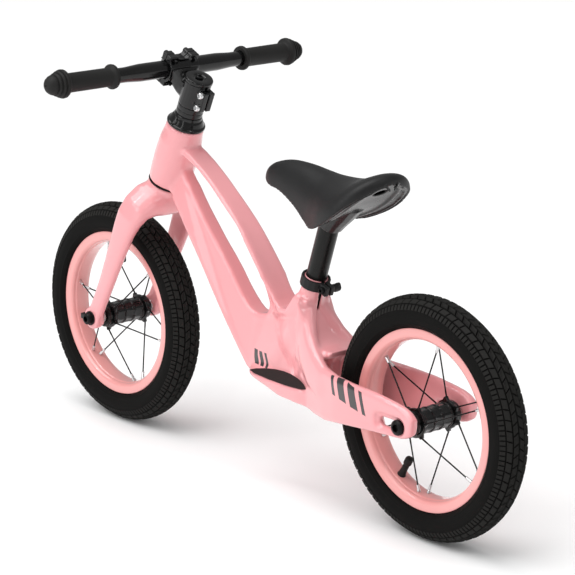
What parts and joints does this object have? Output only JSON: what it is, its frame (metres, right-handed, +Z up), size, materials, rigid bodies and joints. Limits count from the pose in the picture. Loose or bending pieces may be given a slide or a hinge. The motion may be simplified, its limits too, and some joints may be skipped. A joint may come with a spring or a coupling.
{
  "type": "balance bike",
  "caption": "Child's balance bike with a one-piece windowed frame, straight bar with grips, spoked wheels, footrest ledges and a height-adjustable saddle.",
  "frame": {"origin": "on the ground, midway between the two axles, in the bike's middle plane", "axes": "+X forward, +Y to the rider's left, +Z up"},
  "size_m": [0.873, 0.4048, 0.5113],
  "materials": {
    "pink_paint": "glossy pale pink paint",
    "rim_paint": "satin salmon pink paint",
    "black_paint": "glossy black",
    "satin_black": "satin black",
    "black_steel": "blackened steel",
    "bright_steel": "zinc plated steel",
    "tyre_rubber": "matte block tread, smoother sidewalls",
    "soft_rubber": "matte",
    "grip_rubber": "matte, finely textured",
    "saddle_skin": "smooth foam skin with a soft sheen",
    "dark_plastic": "satin moulded plastic"
  },
  "bodies": {
    "frame": {"frame": "pink_paint", "headset_lower_bearing": "black_steel", "headset_upper_bearing": "black_steel", "seat_clamp": "black_paint", "seat_clamp_bolt": "black_steel", "footrest_pad_left": "grip_rubber", "footrest_pad_right": "grip_rubber", "rear_axle": "bright_steel", "rear_axle_bolt_left": "black_steel", "rear_axle_bolt_right": "black_steel", "rear_axle_spacer_left": "bright_steel", "rear_axle_spacer_right": "bright_steel"},
    "steering": {"fork": "pink_paint", "steerer_tube": "black_steel", "crown_seal": "soft_rubber", "headset_cover": "black_paint", "headset_spacer": "black_paint", "stem": "black_paint", "stem_faceplate": "black_paint", "stem_cap": "black_paint", "stem_cap_bolt": "black_steel", "star_nut": "bright_steel", "stem_pinch_bolt_upper": "bright_steel", "stem_pinch_bolt_lower": "bright_steel", "faceplate_bolt_1": "black_steel", "faceplate_bolt_2": "black_steel", "faceplate_bolt_3": "black_steel", "faceplate_bolt_4": "black_steel", "handlebar": "black_paint", "grip_left": "grip_rubber", "grip_right": "grip_rubber", "front_axle": "bright_steel", "front_axle_bolt_left": "black_steel", "front_axle_bolt_right": "black_steel", "front_axle_spacer_left": "bright_steel", "front_axle_spacer_right": "bright_steel", "front_axle_washer_left": "black_steel", "front_axle_washer_right": "black_steel"},
    "front_wheel": {"front_hub": "black_paint", "front_rim": "rim_paint", "front_tyre": "tyre_rubber", "front_inner_tube": "soft_rubber", "front_valve": "soft_rubber", "front_bearing_left": "bright_steel", "front_bearing_right": "bright_steel", "front_spokes_left": "black_steel", "front_spokes_right": "black_steel"},
    "rear_wheel": {"rear_hub": "black_paint", "rear_rim": "rim_paint", "rear_tyre": "tyre_rubber", "rear_inner_tube": "soft_rubber", "rear_valve": "soft_rubber", "rear_bearing_left": "bright_steel", "rear_bearing_right": "bright_steel", "rear_spokes_left": "black_steel", "rear_spokes_right": "black_steel"},
    "seat": {"seat_post": "satin_black", "saddle_base": "dark_plastic", "saddle_cover": "saddle_skin"},
    "clamp_knob": {"seat_clamp_knob": "dark_plastic"}
  },
  "joints": [
    {"name": "steering_turn", "type": "hinge", "parent": "frame", "child": "steering", "pos_m": [0.1593, 0, 0.4185], "axis": [-0.3987, 0, 0.9171], "range_deg": [-60, 60]},
    {"name": "front_wheel_spin", "type": "hinge", "parent": "steering", "child": "front_wheel", "pos_m": [0.2905, 0, 0.146], "axis": [0, 1, 0], "continuous": true},
    {"name": "rear_wheel_spin", "type": "hinge", "parent": "frame", "child": "rear_wheel", "pos_m": [-0.2905, 0, 0.146], "axis": [0, 1, 0], "continuous": true},
    {"name": "seat_height", "type": "slide", "parent": "frame", "child": "seat", "axis": [-0.309, 0, 0.9511], "range_m": [-0.045, 0.035]},
    {"name": "clamp_knob_turn", "type": "hinge", "parent": "frame", "child": "clamp_knob", "pos_m": [-0.10827, -0.014, 0.26072], "axis": [0, 1, 0], "range_deg": [0, 360]}
  ]
}
